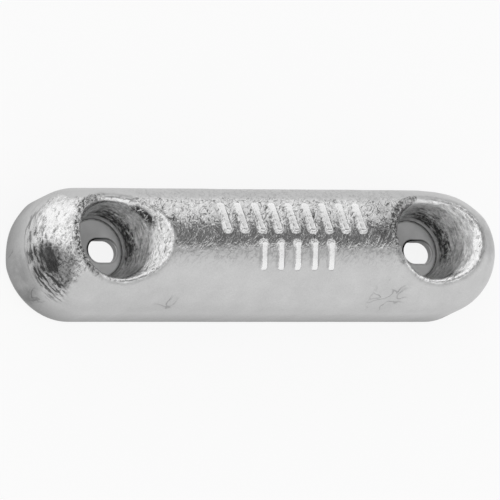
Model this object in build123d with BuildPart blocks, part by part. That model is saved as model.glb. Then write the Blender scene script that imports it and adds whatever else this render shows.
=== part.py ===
import os

from build123d import *

# Bolt-on bar anode: a zinc bar cast round a flat steel strap.
# X runs along the bar, Y across it, Z up from the flat back.
# The origin is the middle of the back.

# Zinc bar
bar_length = 198.5  # over the round ends
bar_width = 46.0
bar_height = 37.0  # back to crown
back_edge_radius = 3.5  # round along the edge of the back

# Fixing strap, cast into the bar
hole_spacing = 135.0  # between the two stud holes
strap_length = 170.0
strap_width = 25.0
strap_thickness = 2.5
strap_corner_radius = 3.0
strap_top = 15.3  # height of its upper face above the back
strap_shift = 1.6  # along X, from the middle of the bar
slot_length = 12.0  # oblong holes with round ends, for M8 studs
slot_width = 8.5

# Pockets, open at the crown, one over each stud hole
pocket_shift_x = -1.2  # from the middle of the bar
pocket_shift_y = 1.0
seat_radius = 10.6  # bare strap at the bottom
ledge_width = 0.9  # narrow step of zinc round the seat
ledge_height = 0.5
throat_radius = 14.7  # where the wall turns into the flare
throat_height = 28.5
throat_round = 3.0
mouth_radius = 19.6  # of the flare, at crown height
rim_round = 2.0

# Bores, open at the back, one under each stud hole
bore_top_radius = 10.6
bore_foot_radius = 16.5

# Raised marks on the crown: two rows of plain bars, back to back
mark_relief = 1.2
mark_width = 3.0
mark_pitch = 7.2
mark_corner_radius = 1.1
mark_gap = 1.6  # from the top of the crown to each row
marks_middle = 3.0  # along X, from the middle of the bar
back_mark_count = 9
back_mark_length = 11.5
front_mark_count = 5
front_mark_length = 10.5

crown_radius = bar_width / 2  # the crown is a full round
side_height = bar_height - crown_radius
end_centre = bar_length / 2 - crown_radius
strap_bottom = strap_top - strap_thickness
over = 1.0  # what a cut runs past the metal
hole_sides = (-1, 1)


def upright_plane(x, y=0.0):
    """The plane across Y at a place on the back: radius to the right, height up."""
    return Plane(origin=(x, y, 0), x_dir=(1, 0, 0), z_dir=(0, -1, 0))


def half_section():
    """Half of the bar's section: flat back, round edge, straight side, round crown."""
    with BuildSketch() as section:
        with BuildLine():
            back = Line((0, 0), (crown_radius - back_edge_radius, 0))
            corner = RadiusArc(back @ 1, (crown_radius, back_edge_radius), -back_edge_radius)
            side = Line(corner @ 1, (crown_radius, side_height))
            crown = RadiusArc(side @ 1, (0, bar_height), -crown_radius)
            Line(crown @ 1, back @ 0)
        make_face()
    return section.sketch


def pocket_section():
    """Half of a pocket's section: seat, ledge, drafted wall, round throat, flare past the crown."""
    flare_slope = (mouth_radius - throat_radius) / (bar_height - throat_height)
    ledge_top = strap_top + ledge_height
    with BuildSketch() as section:
        with BuildLine():
            Polyline(
                (0, strap_top),
                (seat_radius, strap_top),
                (seat_radius, ledge_top),
                (seat_radius + ledge_width, ledge_top),
                (throat_radius, throat_height),
                (mouth_radius + over * flare_slope, bar_height + over),
                (0, bar_height + over),
                close=True,
            )
        make_face()
        throat = section.vertices().sort_by_distance((throat_radius, throat_height, 0))[0]
        fillet(throat, throat_round)
    return section.sketch


def mark_row(count, length, side):
    """One row of plain bars beside the top of the crown."""
    with BuildSketch() as row:
        with Locations((marks_middle, side * (mark_gap + length / 2))):
            with GridLocations(mark_pitch, length, count, 1):
                RectangleRounded(mark_width, length, mark_corner_radius)
    return row.sketch


def strap_outline():
    """The strap seen from above, without its holes."""
    with BuildSketch() as outline:
        with Locations((strap_shift, 0)):
            RectangleRounded(strap_length, strap_width, strap_corner_radius)
    return outline.sketch


# Fixing strap
with BuildPart() as strap:
    with BuildSketch(Plane.XY.offset(strap_bottom)):
        add(strap_outline())
        with Locations((strap_shift, 0)):
            with GridLocations(hole_spacing, 0, 2, 1):
                SlotOverall(slot_length, slot_width, mode=Mode.SUBTRACT)
    extrude(amount=strap_thickness)
strap.part.label = "fixing_strap"

# Raised marks, trimmed to a skin just above the crown
with BuildPart() as marks:
    with BuildSketch(Plane.XY.offset(side_height)):
        add(mark_row(back_mark_count, back_mark_length, 1))
        add(mark_row(front_mark_count, front_mark_length, -1))
    extrude(amount=crown_radius + mark_relief + over)
    with BuildSketch(Plane.YZ):
        with Locations((0, side_height)):
            Circle(crown_radius + mark_relief)
    extrude(amount=end_centre, both=True, mode=Mode.INTERSECT)

# Zinc casting
with BuildPart() as casting:
    with BuildSketch(Plane.YZ) as arch:
        add(half_section())
        mirror(about=Plane.YZ)
    extrude(amount=end_centre, both=True)
    for side in hole_sides:
        with BuildSketch(upright_plane(side * end_centre)):
            add(half_section())
        revolve(axis=Axis((side * end_centre, 0, 0), (0, 0, 1)))
    add(marks.part)
    for side in hole_sides:
        pocket_x = side * hole_spacing / 2 + pocket_shift_x
        with BuildSketch(upright_plane(pocket_x, pocket_shift_y)):
            add(pocket_section())
        revolve(axis=Axis((pocket_x, pocket_shift_y, 0), (0, 0, 1)), mode=Mode.SUBTRACT)
        rim = casting.edges(Select.LAST).filter_by(GeomType.BSPLINE)
        fillet(rim, rim_round)
        with Locations((side * hole_spacing / 2 + strap_shift, 0, strap_bottom / 2)):
            Cone(bore_foot_radius, bore_top_radius, strap_bottom, mode=Mode.SUBTRACT)
    with BuildSketch(Plane.XY.offset(strap_bottom)):
        add(strap_outline())
    extrude(amount=strap_thickness, mode=Mode.SUBTRACT)
casting.part.label = "anode_casting"

os.makedirs("parts", exist_ok=True)
for piece in (casting, strap):
    export_step(piece.part, f"parts/{piece.part.label}.step")
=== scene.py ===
import math

import bpy
from mathutils import Matrix, Vector


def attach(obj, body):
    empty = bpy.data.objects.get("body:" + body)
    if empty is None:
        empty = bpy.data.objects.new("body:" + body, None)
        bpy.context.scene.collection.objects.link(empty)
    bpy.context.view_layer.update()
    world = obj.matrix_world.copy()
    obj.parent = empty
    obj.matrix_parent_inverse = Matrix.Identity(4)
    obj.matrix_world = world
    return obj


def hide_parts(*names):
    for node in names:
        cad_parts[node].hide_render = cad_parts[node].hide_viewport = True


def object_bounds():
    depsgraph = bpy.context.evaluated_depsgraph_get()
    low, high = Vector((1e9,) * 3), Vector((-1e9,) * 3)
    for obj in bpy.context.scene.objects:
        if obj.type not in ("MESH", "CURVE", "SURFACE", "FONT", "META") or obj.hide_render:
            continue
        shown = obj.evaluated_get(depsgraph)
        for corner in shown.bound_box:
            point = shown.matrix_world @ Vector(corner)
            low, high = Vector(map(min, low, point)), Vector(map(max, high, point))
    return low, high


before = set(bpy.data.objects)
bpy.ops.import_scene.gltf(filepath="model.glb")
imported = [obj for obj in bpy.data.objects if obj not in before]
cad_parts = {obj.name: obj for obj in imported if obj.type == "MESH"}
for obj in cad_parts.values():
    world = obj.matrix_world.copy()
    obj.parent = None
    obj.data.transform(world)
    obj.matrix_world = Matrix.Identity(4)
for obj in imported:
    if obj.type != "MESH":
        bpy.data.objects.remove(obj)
cadLow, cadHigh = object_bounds()
print("frame loaded")

mm = 0.001


class Wire:
    # one output socket, with arithmetic that adds Math nodes
    def __init__(self, maker, socket):
        self.maker = maker
        self.socket = socket

    def maths(self, operation, first, second=None):
        values = {0: first} if second is None else {0: first, 1: second}
        return self.maker.node("ShaderNodeMath", {"operation": operation}, values)

    def __add__(self, other):
        return self.maths("ADD", self, other)

    def __radd__(self, other):
        return self.maths("ADD", other, self)

    def __sub__(self, other):
        return self.maths("SUBTRACT", self, other)

    def __rsub__(self, other):
        return self.maths("SUBTRACT", other, self)

    def __mul__(self, other):
        return self.maths("MULTIPLY", self, other)

    def __rmul__(self, other):
        return self.maths("MULTIPLY", other, self)

    def __truediv__(self, other):
        return self.maths("DIVIDE", self, other)

    def __rtruediv__(self, other):
        return self.maths("DIVIDE", other, self)

    def __neg__(self):
        return self.maths("MULTIPLY", self, -1.0)

    def abs(self):
        return self.maths("ABSOLUTE", self)

    def sign(self):
        return self.maths("SIGN", self)

    def root(self):
        return self.maths("SQRT", self)

    def atLeast(self, other):
        return self.maths("MAXIMUM", self, other)

    def atMost(self, other):
        return self.maths("MINIMUM", self, other)

    def ramp(self, low, high, to=(0.0, 1.0), smooth=True):
        # 0 below low and 1 above high, or the other way round where low is the larger
        kind = "SMOOTHSTEP" if smooth else "LINEAR"
        return self.maker.node(
            "ShaderNodeMapRange",
            {"interpolation_type": kind, "clamp": True},
            {0: self, 1: low, 2: high, 3: to[0], 4: to[1]},
        )


class NodeMaker:
    def __init__(self, tree):
        self.tree = tree

    def feed(self, socket, value):
        if isinstance(value, Wire):
            self.tree.links.new(value.socket, socket)
        else:
            socket.default_value = value

    def node(self, kind, settings=None, values=None, output=0):
        made = self.tree.nodes.new(kind)
        for name, value in (settings or {}).items():
            setattr(made, name, value)
        for key, value in (values or {}).items():
            self.feed(made.inputs[key], value)
        return Wire(self, made.outputs[output]) if made.outputs else None

    def split(self, vector):
        first = self.node("ShaderNodeSeparateXYZ", None, {0: vector})
        made = first.socket.node
        return [Wire(self, made.outputs[i]) for i in range(3)]

    def noise(self, vector, scale, detail=2.0, roughness=0.5, distortion=0.0):
        values = {"Vector": vector, "Scale": scale, "Detail": detail}
        values.update({"Roughness": roughness, "Distortion": distortion})
        return self.node("ShaderNodeTexNoise", None, values)

    def scaled(self, vector, factors):
        return self.node("ShaderNodeVectorMath", {"operation": "MULTIPLY"}, {0: vector, 1: factors})

    def moved(self, vector, shift):
        return self.node("ShaderNodeVectorMath", {"operation": "ADD"}, {0: vector, 1: shift})


def blankMaterial(name):
    material = bpy.data.materials.new(name)
    material.use_nodes = True
    material.node_tree.nodes.clear()
    return material, NodeMaker(material.node_tree)


def grey(level):
    return (level, level, level, 1.0)


# Sizes of the casting in millimetres, in the record's own frame
crownRadius = (cadHigh[1] - cadLow[1]) / mm / 2
endCentre = cadHigh[0] / mm - crownRadius
crownHeight = 37.0
sideHeight = crownHeight - crownRadius
strapTop = 15.3
strapThickness = 2.5
seatRadius = 10.6
slotLength = 12.0
slotWidth = 8.5
slotPlace = (2.8, -1.0)  # from the pocket's axis
markMiddle = 7.1  # from the crown's top to the middle of each row of raised bars
pocketSpacing = 135.0
pocketShift = (-1.2, 1.0)
throatHeight = 28.5  # where a pocket's wall turns into its flare
throatRadius = 14.7
flareSlope = 0.576  # radius against height

castingShape = {
    "voxel": 0.5 * mm,
    "triangles": 185000,
    # the rest in mm, but for the flatness and the seed
    "foilHeight": 0.07,  # crinkles of the bright skin on the crown
    "foilWidth": 1.5,
    "lumpHeight": 0.28,  # slow swelling all over
    "lumpWidth": 14.0,
    "rimHeight": 0.9,  # ragged lips of the pockets
    "rimWidth": 2.0,
    "throatLip": 0.5,  # sharpens the turn from wall to flare
    "markFlatness": 0.8,  # of the tops of the raised bars, where the crown is round
    "markDrop": 0.53,
    "markHeight": 0.25,  # uneven edges of the bars
    "markWidth": 1.5,
    "skinDrop": 0.12,  # keeps all of it within the casting's own size
    "seed": 3.0,
}


# Where the bright skin of the crown ends, in mm
skinZones = {
    "foilFront": -4.0,
    "foilBack": 15.5,
    "foilFoot": 17.0,
    "foilRight": (74.0, 70.0),
    "noseStart": (-84.0, -86.0),  # left of this it covers the round end too
    "noseBack": 3.0,  # further back there
    "noseFoot": 4.5,  # and higher up
}

# Each end is a little flatter at one place: its azimuth in degrees, its height and its reach
rightTrim = (67.0, 24.0, 16.0)
leftTrim = (152.0, 4.0, 18.0)
trimDepth = 0.9
trimSpread = (0.79, 0.99)  # cosines between which a trim fades in


def addInput(tree, name, kind, value):
    socket = tree.interface.new_socket(name=name, in_out="INPUT", socket_type=kind)
    socket.default_value = value


def aroundPocket(maker, x, y):
    # place as seen from the axis of the nearer pocket
    fromMiddle = x - pocketShift[0]
    towardRight = (fromMiddle.abs() - pocketSpacing / 2) * fromMiddle.sign()
    towardBack = y - pocketShift[1]
    fromAxis = (towardRight * towardRight + towardBack * towardBack).root()
    return towardRight, towardBack, fromAxis


def castSkinTree(material):
    tree = bpy.data.node_groups.new("castSkin", "GeometryNodeTree")
    tree.interface.new_socket(name="Geometry", in_out="INPUT", socket_type="NodeSocketGeometry")
    tree.interface.new_socket(name="Geometry", in_out="OUTPUT", socket_type="NodeSocketGeometry")
    for name, value in castingShape.items():
        if name not in ("voxel", "triangles"):
            addInput(tree, name, "NodeSocketFloat", value)
    maker = NodeMaker(tree)
    entry = maker.node("NodeGroupInput").socket.node
    given = {socket.name: Wire(maker, socket) for socket in entry.outputs if socket.name}

    place = maker.node("GeometryNodeInputPosition")
    inMm = maker.scaled(place, (1 / mm, 1 / mm, 1 / mm))
    x, y, z = maker.split(inMm)
    seedShift = maker.node("ShaderNodeCombineXYZ", None, {0: given["seed"] * 31.7, 1: given["seed"] * 17.3})
    seeded = maker.moved(inMm, seedShift)

    # distance from the skin of the plain bar, without pockets or marks
    along = (x.abs() - endCentre).atLeast(0.0)
    acrossPlan = (along * along + y * y).root()
    aboveSide = (z - sideHeight).atLeast(0.0)
    skinGap = (acrossPlan * acrossPlan + aboveSide * aboveSide).root() - crownRadius
    towardRight, towardBack, fromAxis = aroundPocket(maker, x, y)

    # zones, each from 0 to 1, with uneven edges
    slowEdge = maker.noise(seeded, 0.22, 3.0, 0.6) - 0.5
    fineEdge = maker.noise(seeded, 0.9, 2.0, 0.65) - 0.5
    edge = slowEdge * 6.0 + fineEdge * 5.0
    pastRim = fromAxis - throatRadius - (z - throatHeight) * flareSlope
    frontShare = x.ramp(-10.0, 10.0, (0.5, 1.3))
    leftOfPocket = (towardRight + (-towardBack).atLeast(0.0) * frontShare + slowEdge * 8.0).ramp(-1.0, -6.0)
    # the bright skin of a flare goes on over the round of its rim
    overRim = (pastRim + fineEdge * 0.8).ramp(1.1, 0.6) * (z - throatHeight).ramp(0.0, 1.0)
    overRim = overRim * (1.0 - leftOfPocket)
    onSkin = skinGap.ramp(-1.5, -0.5) * (1.0 - overRim)
    mark = skinGap.ramp(0.3, 0.8)
    leftNose = x.ramp(*skinZones["noseStart"])
    # the front edge comes lower toward the left end
    frontLimit = skinZones["foilFront"] - x.ramp(-50.0, -83.0, smooth=False) * 5.5
    frontLimit = frontLimit - x.ramp(-83.5, -87.5, smooth=False) * 4.2 - x.ramp(-87.8, -90.0) * 9.0
    behindFront = (y - frontLimit + edge * 0.75).ramp(-2.0, 1.4)
    backLimit = skinZones["foilBack"] + leftNose * skinZones["noseBack"]
    aheadOfBack = (backLimit - y + edge * 0.6).ramp(-1.5, 1.5)
    leftOfEnd = (x - edge * 0.6).ramp(*skinZones["foilRight"])
    aboveFoot = z - skinZones["foilFoot"] - leftNose * skinZones["noseFoot"]
    aboveSides = (aboveFoot + edge * 0.45).ramp(-2.0, 2.5)
    foil = onSkin * behindFront * aheadOfBack * leftOfEnd * aboveSides
    foil = foil.atLeast(mark)
    nose = foil * leftNose
    inPocket = (1.0 - onSkin) * (z - strapTop).ramp(-0.2, 0.2)
    # a flare's bright skin starts lower at the front, and in the left pocket at the back too
    sideways = towardBack / fromAxis.atLeast(0.1)
    early = sideways.ramp(0.2, 0.9) * x.ramp(10.0, -10.0) + sideways.ramp(-0.3, -0.9)
    # the grey of the wall runs on up the right side of the flare, most of all in the right pocket
    late = (towardRight / fromAxis.atLeast(0.1)).ramp(0.2, 0.8) * x.ramp(-10.0, 10.0, (1.3, 2.7))
    overThroat = z - throatHeight
    flare = inPocket * (overThroat + early * 2.4 - late + fineEdge * 2.5 + slowEdge * 3.0).ramp(-0.4, 0.8)
    wall = inPocket * (1.0 - flare)
    rim = (pastRim - 0.8 + edge * 0.35).abs().ramp(2.6, 0.6) * skinGap.ramp(-3.0, -1.0) * z.ramp(20.0, 22.0)
    roughRim = rim * leftOfPocket
    lip = inPocket * overThroat.ramp(-9.0, 0.0, smooth=False) * overThroat.ramp(7.5, 0.3, smooth=False)

    # heights in millimetres
    foilA = maker.noise(seeded, 1.0 / given["foilWidth"], 2.0, 0.55, 0.8) - 0.5
    foilB = maker.noise(seeded, 2.3 / given["foilWidth"], 1.0, 0.5, 0.4) - 0.5
    crinkles = (foilA + foilB * 0.5) * 2.0 * given["foilHeight"] * foil * (1.0 - mark)
    lumps = (maker.noise(seeded, 1.0 / given["lumpWidth"], 1.0, 0.5) - 0.5) * given["lumpHeight"]
    rimNoise = maker.noise(seeded, 1.0 / given["rimWidth"], 3.0, 0.65, 0.6) - 0.5
    ragged = rimNoise * given["rimHeight"] * (rim * 0.7 + roughRim * 1.1)
    markNoise = maker.noise(seeded, 1.0 / given["markWidth"], 2.0, 0.6) - 0.5
    uneven = markNoise * given["markHeight"] * 2.0 * skinGap.ramp(0.0, 0.4) * foil * (1.0 - mark * 0.85)
    fromRow = y.abs() - markMiddle
    flatter = fromRow * fromRow / (crownRadius * 2.1) * given["markFlatness"] - given["markDrop"]
    # the back face, the bores and the strap's seat stay as they were cut
    worked = z.ramp(1.0, 4.0) * (onSkin.atLeast((z - strapTop).ramp(0.8, 2.5)))
    height = crinkles + (lumps - given["skinDrop"]) * (1.0 - mark) + ragged + uneven
    height = (height + lip * given["throatLip"] + flatter * mark) * worked

    normal = maker.node("GeometryNodeInputNormal")
    offset = maker.node(
        "ShaderNodeVectorMath", {"operation": "SCALE"}, {0: normal, "Scale": height * mm}
    )
    # the trims push the skin straight in, toward the middle of the end
    outX = along * x.sign() / acrossPlan.atLeast(0.1)
    outY = y / acrossPlan.atLeast(0.1)
    trim = 0.0
    for (azimuth, middle, reach), side in ((rightTrim, 1.0), (leftTrim, -1.0)):
        angle = math.radians(azimuth)
        facing = (outX * math.cos(angle) + outY * math.sin(angle)).ramp(*trimSpread)
        nearEnd = (x * side - endCentre).ramp(-9.0, 3.0)
        trim = facing * (z - middle).abs().ramp(reach, 0.0) * nearEnd * -trimDepth + trim
    trim = trim * skinGap.ramp(-2.5, -0.8) * mm
    level = maker.node("ShaderNodeCombineXYZ", None, {0: outX * trim, 1: outY * trim})
    shift = maker.node("ShaderNodeVectorMath", {"operation": "ADD"}, {0: offset, 1: level})
    stored = maker.node("GeometryNodeSetPosition", None, {"Geometry": given["Geometry"], "Offset": shift})
    zones = {"foil": foil, "nose": nose, "mark": mark, "flare": flare, "wall": wall}
    zones.update({"rim": rim, "roughRim": roughRim})
    for name, value in zones.items():
        stored = maker.node(
            "GeometryNodeStoreNamedAttribute",
            {"data_type": "FLOAT", "domain": "POINT"},
            {"Geometry": stored, "Name": name, "Value": value},
        )
    real = maker.node("GeometryNodeRealizeInstances", None, {"Geometry": stored})
    dressed = maker.node("GeometryNodeSetMaterial", None, {"Geometry": real, "Material": material})
    maker.node("NodeGroupOutput", None, {"Geometry": dressed})
    return tree


zincFinish = {
    # how light and how rough each part of the skin is
    "satinTone": 0.585,
    "lowerShade": 0.42,  # painted shade: how much darker the foot of the sides is
    "foilTone": 0.67,
    "markTone": 0.88,
    "flareTone": 0.84,
    "wallTone": 0.60,
    "footShadeDepth": 0.50,  # depth of the painted shade at the foot of a pocket's wall
    "satinRoughness": 0.38,
    "foilRoughness": 0.20,
    "noseRoughness": 0.20,
    "markRoughness": 0.26,
    "flareRoughness": 0.24,
    "wallRoughness": 0.40,
    # heights in mm
    "creaseHeight": 0.28,
    "crumpleHeight": 0.14,
    "fineHeight": 0.07,
    "foldHeight": 0.42,  # level folds of the nose's skin
    "wallHeight": 0.40,
    "flareHeight": 0.10,
    "rippleHeight": 0.16,
    "grainHeight": 0.012,
    # wrinkles and smudges on the smooth sides: middle, reach, strength
    "scuffs": (
        ((-47.0, -21.3, 22.3), 6.0, 1.0),
        ((46.0, -19.6, 25.4), 11.0, 1.0),
        ((-93.5, -15.0, 10.0), 6.0, 0.7),
        ((-99.1, 1.5, 6.5), 3.2, 0.8),
    ),
    "endRipples": ((91.0, -5.0, 31.0), 9.0),
    # painted highlight on the left nose: middle, reach
    "noseHighlight": ((-89.0, 6.0, 28.0), 14.0),
    # painted dark reflections on the left nose: middle, reach, strength
    "noseDarkReflections": (
        ((-94.5, -5.5, 24.0), 8.2, 0.88),
        ((-91.5, -10.5, 25.0), 8.5, 0.64),
    ),
    # painted shade where the skin is a little darker: middle, reach, strength
    "shadePlaces": (
        ((92.0, 1.0, 31.0), 13.0, 0.13),
        ((46.0, 6.0, 35.0), 13.0, 0.20),
        ((-98.0, -10.0, 13.0), 13.0, 0.12),
    ),
    "crumbs": ((-56.0, 9.2, 29.3), 8.0),  # broken edge inside a flare
}

# Noise of the zinc's finish: scale for each mm, detail, roughness, distortion
zincPatterns = {
    "cloudy": (0.12, 4.0, 0.6),
    "grain": (2.2, 3.0, 0.65),
    "mottle": (0.75, 4.0, 0.7, 0.6),
    "creases": (0.40, 2.0, 0.5, 1.2),
    "crumple": (1.10, 1.0, 0.5, 0.8),
    "fine": (1.25, 1.0, 0.5, 0.3),
    "nicks": (0.80, 2.0, 0.6, 0.4),
    "flecks": (0.95, 3.0, 0.7, 0.4),
    "ticks": (0.55, 2.0, 0.6, 0.5),
    "folds": (0.55, 3.0, 0.6, 0.7),
    "ripples": (0.90, 2.0, 0.55, 0.4),
    "streaks": (0.95, 4.0, 0.7, 0.4),
    "endWave": (0.55, 2.0, 0.55, 0.6),
    "scuffLines": (0.15, 2.0, 0.45, 0.5),
}

# How strongly each pattern shows in the tone
zincTones = {
    "satinCloud": 0.16,
    "satinGrain": 0.19,
    "farSideShade": 0.05,  # painted shade: how much darker the far side is
    # painted shade on the lower sides
    "lowSideShade": 0.075,
    "foilCrumple": 0.55,
    "foilGrain": 0.5,
    "foilNicks": 0.28,
    "foilCreases": (0.10, 0.52),  # at the front and at the back
    "darkReflectionFolds": 0.35,
    "noseHighlight": 0.22,
    "rippleHighlight": 0.10,
    "rippleShade": 0.32,
    "specks": 0.34,
    "flareStreaks": 0.95,
    "flareNicks": 0.30,
    "flareCrumbs": 0.8,
    "wallStreaks": 1.7,
    "wallMottle": 0.8,
    "wallCrumbs": 0.4,
    # painted tone of the ledge as it is lit, and painted shadow line round the seat
    "ledge": 0.36,
    "seatShadow": 0.22,
    "rimFlecks": 0.45,
    "rimMottle": 0.34,
    "farRimFlecks": 0.12,
    "scuffLines": 0.17,
    "scuffed": 0.03,
    "ticks": 0.13,
}


def zincMaterial():
    finish = zincFinish
    shows = zincTones
    material, maker = blankMaterial("castZinc")
    place = maker.node("ShaderNodeTexCoord", None, None, 3)
    inMm = maker.scaled(place, (1 / mm, 1 / mm, 1 / mm))
    x, y, z = maker.split(inMm)
    towardRight, towardBack, fromAxis = aroundPocket(maker, x, y)
    foil, nose, mark, flare, wall, rim, roughRim = (
        maker.node("ShaderNodeAttribute", {"attribute_name": name}, None, 2)
        for name in ("foil", "nose", "mark", "flare", "wall", "rim", "roughRim")
    )

    def within(middle, reach):
        distance = maker.node("ShaderNodeVectorMath", {"operation": "DISTANCE"}, {0: inMm, 1: middle}, 1)
        return distance.ramp(reach, reach * 0.35)

    def pattern(name, vector):
        return maker.noise(vector, *zincPatterns[name])

    # patterns
    cloudy = pattern("cloudy", inMm) - 0.5
    grain = pattern("grain", inMm) - 0.5
    mottle = pattern("mottle", inMm) - 0.5
    turned = maker.node("ShaderNodeMapping", None, {"Vector": inMm, "Rotation": (0.0, 0.0, -0.87)})
    slant = maker.scaled(turned, (0.42, 1.0, 0.8))
    creases = (pattern("creases", slant) - 0.5).abs()
    crumple = pattern("crumple", slant) - 0.5
    fine = pattern("fine", inMm) - 0.5
    nicks = pattern("nicks", slant).ramp(0.61, 0.67)
    flecks = pattern("flecks", inMm)
    # fine slanting ticks between the ends, from in front of the foil to the far side and the flat back
    tickZone = y.ramp(-13.0, -5.0) * x.abs().ramp(64.0, 52.0) * (1.0 - foil)
    ticks = (pattern("ticks", slant) - 0.5).abs().ramp(0.045, 0.005) * tickZone
    # folds that run level round a nose, without a seam
    fromEnd = (x.abs() - endCentre).atLeast(0.01)
    inPlan = (fromEnd * fromEnd + y * y).root()
    roundNose = maker.node(
        "ShaderNodeCombineXYZ", None, {0: fromEnd / inPlan * 5.0, 1: y / inPlan * 5.0, 2: z + mottle * 0.8}
    )
    folds = pattern("folds", roundNose) - 0.5
    ripples = pattern("ripples", maker.scaled(roundNose, (1.1, 1.1, 1.0))) - 0.5
    # streaks that run round a pocket, without a seam
    roundPocket = maker.node(
        "ShaderNodeCombineXYZ", None,
        {0: towardRight / fromAxis * 4.5, 1: towardBack / fromAxis * 4.5, 2: z * 0.9 + fromAxis * 0.5},
    )
    streaks = pattern("streaks", roundPocket) - 0.5
    rightHalf = (towardRight / fromAxis).ramp(-0.35, 0.35)
    backPart = (towardBack / fromAxis).ramp(-0.75, 0.0)
    # painted shade at the foot of a pocket's wall, on its right and back
    footShade = (z + mottle * 9.0 + streaks * 5.0).ramp(23.5, 18.0) * rightHalf * backPart
    backLeft = ((towardBack - towardRight) / fromAxis).ramp(0.5, 1.3)
    # painted light on the upper part of a pocket's wall, most at the back and left
    upperWallLight = (z + mottle * 6.0).ramp(23.0, 28.0) * (backLeft * 0.48 + 0.12)
    # painted light: the ledge at the wall's foot gets one set tone; painted shadow: a dark line round the
    # seat
    ledge = z.ramp(16.9, 16.2)
    seatShadow = fromAxis.ramp(seatRadius + 0.5, seatRadius + 0.2) * z.ramp(16.4, 15.9)
    # flow lines along the foot of the nose's bright skin
    rippleZone = (z + cloudy * 8.0).ramp(14.5, 18.0) * (z + cloudy * 10.0).ramp(28.0, 22.0)
    rippleZone = rippleZone * (x + cloudy * 6.0).ramp(-86.5, -90.5) * y.ramp(19.0, 8.0)
    endZone = within(*finish["endRipples"]) * (fromAxis - 19.5).ramp(0.0, 1.5) * x.ramp(70.0, 78.0)
    endWave = pattern("endWave", maker.scaled(inMm, (0.22, 1.0, 0.5))) - 0.5
    scuffed = 0.0
    for middle, reach, strength in finish["scuffs"]:
        scuffed = within(middle, reach) * strength + scuffed
    scuffLines = (pattern("scuffLines", inMm) - 0.5).abs().ramp(0.030, 0.0) * scuffed
    # painted dark reflection on the left nose, with level folds inside it
    noseDarkReflection = 0.0
    for middle, reach, strength in finish["noseDarkReflections"]:
        fromDarkReflection = maker.node("ShaderNodeVectorMath", {"operation": "DISTANCE"}, {0: inMm, 1: middle}, 1)
        patch = (fromDarkReflection + mottle * 5.0 + folds * 5.0).ramp(reach * 1.1, reach * 0.45) * strength
        noseDarkReflection = patch.atLeast(noseDarkReflection)
    noseDarkReflection = noseDarkReflection * foil.atLeast(rippleZone * 0.7)
    # painted shade at a few places on the crown and at both ends
    placeShade = 0.0
    for middle, reach, strength in finish["shadePlaces"]:
        fromShadePlace = maker.node("ShaderNodeVectorMath", {"operation": "DISTANCE"}, {0: inMm, 1: middle}, 1)
        placeShade = (fromShadePlace + cloudy * 26.0).ramp(reach, reach * 0.2) * strength + placeShade
    crumbLine = fromAxis - throatRadius + 0.2 - (towardRight - 9.0) * 0.23
    crumbs = within(*finish["crumbs"]) * crumbLine.abs().ramp(1.2, 0.4)

    # tone of the satin sides, with painted shade at the foot, low down and on the far side
    satin = finish["satinTone"] + cloudy * shows["satinCloud"] + grain * shows["satinGrain"]
    satin = satin * (1.0 - z.ramp(15.0, 1.0, smooth=False) * finish["lowerShade"])
    satin = satin - y.ramp(14.0, 20.0) * shows["farSideShade"]
    satin = satin - z.ramp(25.0, 13.0) * shows["lowSideShade"]
    # of the bright skin and the raised bars
    tone = satin + foil * (finish["foilTone"] - finish["satinTone"])
    tone = tone + mark * (finish["markTone"] - finish["foilTone"])
    wrinkled = foil * (1.0 - mark)
    tone = tone + wrinkled * (crumple * shows["foilCrumple"] + grain * shows["foilGrain"])
    # painted shade in the creases and nicks
    creaseShade = creases.ramp(0.035, 0.0) * (1.0 - nose) * y.ramp(3.0, 6.0, shows["foilCreases"])
    tone = tone - wrinkled * (nicks * shows["foilNicks"] + creaseShade) - placeShade
    # of the left nose
    # the left nose's painted dark reflection, with folds in it
    tone = tone * (1.0 - noseDarkReflection) + noseDarkReflection * folds * shows["darkReflectionFolds"]
    # painted highlight on the left nose's bright skin
    noseHighlight = within(*finish["noseHighlight"]) * foil
    tone = tone + noseHighlight * (1.0 - noseDarkReflection) * shows["noseHighlight"]
    # painted highlights on the crests of the flow lines, painted shade in their troughs
    crests = ripples.ramp(-0.03, -0.10) * shows["rippleHighlight"]
    troughs = ripples.ramp(0.01, 0.08) * shows["rippleShade"]
    tone = tone + (crests - troughs) * rippleZone
    specks = flecks.ramp(0.50, 0.58) * nose * (z + cloudy * 8.0).ramp(35.0, 30.0) * y.ramp(8.0, 2.0)
    tone = tone - specks * (1.0 - noseDarkReflection) * shows["specks"]
    # of the pockets
    rightPocket = x.ramp(-10.0, 10.0)
    # painted light and shade: the right pocket's flare is lighter, and darker at its back and left
    flareTone = finish["flareTone"] - 0.03 + rightPocket * (0.10 - backLeft * 0.24)
    # painted shade in the flare's nicks
    flareTone = flareTone + streaks * shows["flareStreaks"] - nicks * shows["flareNicks"]
    flareTone = flareTone - crumbs * flecks.ramp(0.38, 0.50) * shows["flareCrumbs"]
    wallTone = finish["wallTone"] + streaks * shows["wallStreaks"] + mottle * shows["wallMottle"] + upperWallLight
    wallTone = wallTone - footShade * finish["footShadeDepth"]
    wallTone = wallTone - crumbs * flecks.ramp(0.44, 0.56) * shows["wallCrumbs"]
    wallTone = wallTone + ledge * (shows["ledge"] - wallTone) - seatShadow * shows["seatShadow"]
    tone = tone + flare * (flareTone - tone)
    tone = tone + wall * (wallTone - tone)
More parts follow.
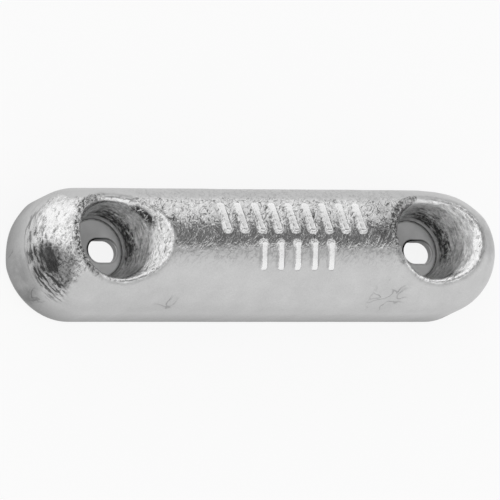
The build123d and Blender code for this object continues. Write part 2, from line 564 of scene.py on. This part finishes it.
    # of the rims, and the marks of wear
    leftHalf = (x.ramp(10.0, -10.0, (0.30, 1.0)) + backLeft * 0.65).atMost(1.1)
    ragged = flecks.ramp(0.48, 0.58) * shows["rimFlecks"] + mottle.ramp(-0.02, 0.06) * shows["rimMottle"]
    tone = tone - roughRim * leftHalf * ragged
    tone = tone - rim * (1.0 - roughRim) * flecks.ramp(0.58, 0.66) * shows["farRimFlecks"]
    tone = tone - scuffLines * shows["scuffLines"] - scuffed * shows["scuffed"] - ticks * shows["ticks"]
    tone = tone.atLeast(0.06).atMost(0.96)
    colour = maker.node("ShaderNodeCombineColor", None, {0: tone, 1: tone, 2: tone})

    roughness = finish["satinRoughness"] + cloudy * 0.1
    roughness = roughness + foil * (finish["foilRoughness"] - roughness)
    roughness = roughness + nose * (finish["noseRoughness"] - finish["foilRoughness"])
    roughness = roughness + mark * (finish["markRoughness"] - roughness)
    roughness = roughness - rippleZone * (1.0 - foil) * 0.10
    roughness = roughness + rim * (1.0 - foil) * (0.55 - roughness)
    roughness = roughness + flare * (finish["flareRoughness"] - roughness)
    roughness = roughness + wall * (finish["wallRoughness"] - roughness)
    roughness = roughness.atLeast(0.08).atMost(0.8)

    height = (
        grain * finish["grainHeight"]
        + (creases - 0.08) * finish["creaseHeight"] * wrinkled * (1.0 - nose)
        + (crumple * finish["crumpleHeight"] + fine * finish["fineHeight"]) * wrinkled * (1.0 - nose * 0.6)
        + (folds * finish["foldHeight"] - nicks * 0.12) * nose
        - nicks * 0.10 * wrinkled
        + (mottle * 0.6 + streaks) * wall * finish["wallHeight"]
        + (streaks - nicks * 1.5) * flare * finish["flareHeight"]
        + ripples * rippleZone * finish["rippleHeight"] * 4.0
        + endWave * endZone * finish["rippleHeight"] * 3.0
        + scuffLines * 0.18
        + ticks * 0.05
        + cloudy * 0.5 * (1.0 - foil)
        + mottle * roughRim * 0.6
        + flecks * crumbs * 0.8 * (flare + wall)
    )
    bump = maker.node("ShaderNodeBump", None, {"Strength": 1.0, "Distance": mm, "Height": height})
    shader = maker.node(
        "ShaderNodeBsdfPrincipled", None,
        {"Base Color": colour, "Metallic": 1.0, "Roughness": roughness, "Normal": bump},
    )
    maker.node("ShaderNodeOutputMaterial", None, {"Surface": shader})
    return material


def mergedCopy(source, name):
    mesh = source.data.copy()
    mesh.name = name
    copy = bpy.data.objects.new(name, mesh)
    bpy.context.scene.collection.objects.link(copy)
    weld = copy.modifiers.new("weld", "WELD")
    weld.merge_threshold = 0.002 * mm
    return copy


def settle(piece, name):
    # the evaluated mesh becomes the piece's own, and its modifiers go
    depsgraph = bpy.context.evaluated_depsgraph_get()
    evaluated = piece.evaluated_get(depsgraph)
    mesh = bpy.data.meshes.new_from_object(evaluated, preserve_all_data_layers=True, depsgraph=depsgraph)
    mesh.name = name
    piece.modifiers.clear()
    piece.data = mesh
    return mesh


def makeCasting():
    material = zincMaterial()
    piece = mergedCopy(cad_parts["anode_casting"], "castBody")
    remesh = piece.modifiers.new("remesh", "REMESH")
    remesh.mode = "VOXEL"
    remesh.voxel_size = castingShape["voxel"]
    skin = piece.modifiers.new("castSkin", "NODES")
    skin.node_group = castSkinTree(material)
    for socket in skin.node_group.interface.items_tree:
        if socket.in_out == "INPUT" and socket.name in castingShape:
            skin[socket.identifier] = castingShape[socket.name]
    mesh = settle(piece, "castBody")
    triangleCount = sum(len(face.vertices) - 2 for face in mesh.polygons)
    print("remeshed:", triangleCount, "triangles")
    thin = piece.modifiers.new("thin", "DECIMATE")
    thin.ratio = min(1.0, castingShape["triangles"] / triangleCount)
    mesh = settle(piece, "castBody")
    mesh.polygons.foreach_set("use_smooth", [True] * len(mesh.polygons))
    print("casting:", len(mesh.polygons), "faces")
    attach(piece, "root")
    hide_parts("anode_casting")


makeCasting()


def strapMaterial():
    material, maker = blankMaterial("galvanisedSteel")
    place = maker.node("ShaderNodeTexCoord", None, None, 3)
    inMm = maker.scaled(place, (1 / mm, 1 / mm, 1 / mm))
    cloudy = maker.noise(inMm, 0.25, 3.0, 0.55)
    grain = maker.noise(inMm, 3.0, 2.0, 0.6)
    x, y, height = maker.split(inMm)
    towardRight, towardBack, fromAxis = aroundPocket(maker, x, y)
    fromSlotX = towardRight - slotPlace[0]
    fromSlotY = towardBack - slotPlace[1]
    pastStraight = (fromSlotX.abs() - (slotLength - slotWidth) / 2).atLeast(0.0)
    outsideSlot = (pastStraight * pastStraight + fromSlotY * fromSlotY).root() - slotWidth / 2
    # painted shadow along the slot's top edge, stronger toward its back and left
    slotEdgeShadow = outsideSlot.ramp(0.95, 0.35) * (fromSlotY - fromSlotX * 0.35).ramp(-1.5, 3.0, (0.25, 0.95))
    # painted light and shade across the seat, lighter toward the front right
    seatLightAndShade = (towardRight - towardBack).ramp(-6.0, 8.0, (-0.14, 0.13))
    # painted shadow under the edge of the zinc
    shadowUnderZinc = fromAxis.ramp(seatRadius - 0.45, seatRadius - 0.15)
    strapFoot = strapTop - strapThickness
    # painted shade on the slot's cut walls
    slotWallShade = height.ramp(strapTop - 0.05, strapTop - 0.25) * height.ramp(strapFoot + 0.05, strapFoot + 0.3)
    tone = 0.84 + (cloudy - 0.5) * 0.14 + (grain - 0.5) * 0.05
    tone = tone + seatLightAndShade * fromAxis.ramp(seatRadius + 2.0, seatRadius)
    tone = tone - slotWallShade.atLeast(shadowUnderZinc * 0.35).atLeast(slotEdgeShadow) * 0.74
    colour = maker.node("ShaderNodeCombineColor", None, {0: tone, 1: tone, 2: tone})
    roughness = 0.42 + (cloudy - 0.5) * 0.12
    bump = maker.node(
        "ShaderNodeBump", None, {"Strength": 1.0, "Distance": mm, "Height": (grain - 0.5) * 0.012}
    )
    shader = maker.node(
        "ShaderNodeBsdfPrincipled", None,
        {"Base Color": colour, "Metallic": 1.0, "Roughness": roughness, "Normal": bump},
    )
    maker.node("ShaderNodeOutputMaterial", None, {"Surface": shader})
    return material


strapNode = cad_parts["fixing_strap"]
strapFinish = strapMaterial()
for place in strapNode.material_slots:
    place.material = strapFinish
print("strap finished")


studio = {
    "floorSize": 8.0,
    "floorGap": 0.02 * mm,  # keeps the floor out of the plane of the casting's back
    "floorGlow": 0.88,  # share of the floor that is plain white to the eye
    "floorTone": 0.92,
    "walls": 1.0,  # brightness low down, all round
    "wallTop": (0.52, 0.73),  # height on the sky where the walls fade
    "ceiling": 0.32,
    # direction to the light, cosines where it ends and is full, brightness
    "lights": (
        ((0.25, -0.75, 0.62), 0.58, 0.78, 1.0),
        ((-0.70, 0.45, 0.55), 0.70, 0.92, 1.0),
    ),
    # the same for what stands dark among them
    "shades": (
        ((-0.90, -0.42, 0.0), 0.93, 0.98, 0.7),
        ((0.54, 0.24, 0.80), 0.918, 0.948, 0.45),
    ),
}


def makeFloor():
    half = studio["floorSize"] / 2
    mesh = bpy.data.meshes.new("floor")
    level = -studio["floorGap"]
    corners = [(-half, -half, level), (half, -half, level), (half, half, level), (-half, half, level)]
    mesh.from_pydata(corners, [], [(0, 1, 2, 3)])
    floor = bpy.data.objects.new("floor", mesh)
    bpy.context.scene.collection.objects.link(floor)
    material, maker = blankMaterial("paleFloor")
    rays = maker.node("ShaderNodeLightPath").socket.node
    camera, glossy, transmitted = (
        Wire(maker, rays.outputs[name])
        for name in ("Is Camera Ray", "Is Glossy Ray", "Is Transmission Ray")
    )
    seen = (camera + glossy + transmitted).atMost(1.0)
    paper = maker.node("ShaderNodeBsdfDiffuse", None, {"Color": grey(studio["floorTone"])})
    glow = maker.node("ShaderNodeEmission", None, {"Color": grey(1.0), "Strength": 1.0})
    lit = maker.node(
        "ShaderNodeMixShader", None, {0: seen * studio["floorGlow"], 1: paper, 2: glow}
    )
    # clear from below, so that the back can be seen
    facing = maker.node("ShaderNodeNewGeometry").socket.node
    fromBelow = Wire(maker, facing.outputs["Backfacing"])
    clear = maker.node("ShaderNodeBsdfTransparent", None, {"Color": grey(1.0)})
    shader = maker.node("ShaderNodeMixShader", None, {0: fromBelow, 1: lit, 2: clear})
    maker.node("ShaderNodeOutputMaterial", None, {"Surface": shader})
    mesh.materials.append(material)


def makeWorld():
    world = bpy.data.worlds.new("studio")
    bpy.context.scene.world = world
    world.use_nodes = True
    world.node_tree.nodes.clear()
    maker = NodeMaker(world.node_tree)
    direction = maker.node("ShaderNodeTexCoord", None, None, 0)

    def patch(toward, outer, inner):
        aim = Vector(toward).normalized()
        facing = maker.node(
            "ShaderNodeVectorMath", {"operation": "DOT_PRODUCT"}, {0: direction, 1: tuple(aim)}, 1
        )
        return facing.ramp(outer, inner)

    upward = maker.split(direction)[2]
    fadeLow, fadeHigh = studio["wallTop"]
    level = upward.ramp(fadeLow, fadeHigh, (studio["walls"], studio["ceiling"]))
    for toward, outer, inner, strength in studio["lights"]:
        level = level.atLeast(patch(toward, outer, inner) * strength)
    for toward, outer, inner, depth in studio["shades"]:
        level = level * (1.0 - patch(toward, outer, inner) * depth)
    background = maker.node("ShaderNodeBackground", None, {"Color": grey(1.0), "Strength": level})
    maker.node("ShaderNodeOutputWorld", None, {"Surface": background})


shot = {
    "direction": (-0.5421, -0.2195),  # toward the camera, along X and Y
    "roll": 0.0046,
    "distance": 3.824,
    "aim": (5.218, 4.575),  # mm from the origin, to the right and up
    "sensor": 36.0,
    "lens": 762.7,
    "clipStart": 0.1,
}


def makeCamera():
    toCamera = Vector((*shot["direction"], 0.0))
    toCamera.z = math.sqrt(1 - toCamera.length_squared)
    right = (Vector((1, 0, 0)) - toCamera.x * toCamera).normalized()
    up = toCamera.cross(right)
    roll = shot["roll"]
    right, up = (
        right * math.cos(roll) + up * math.sin(roll),
        up * math.cos(roll) - right * math.sin(roll),
    )
    aimRight, aimUp = shot["aim"]
    aim = right * aimRight * mm + up * aimUp * mm
    data = bpy.data.cameras.new("camera")
    data.sensor_width = shot["sensor"]
    data.lens = shot["lens"]
    data.clip_start = shot["clipStart"]
    camera = bpy.data.objects.new("camera", data)
    camera.matrix_world = Matrix.Translation(aim + toCamera * shot["distance"]) @ Matrix(
        (right, up, toCamera)
    ).transposed().to_4x4()
    bpy.context.scene.collection.objects.link(camera)
    bpy.context.scene.camera = camera


makeFloor()
makeWorld()
makeCamera()
bpy.context.scene.view_settings.view_transform = "Standard"
print("studio made")
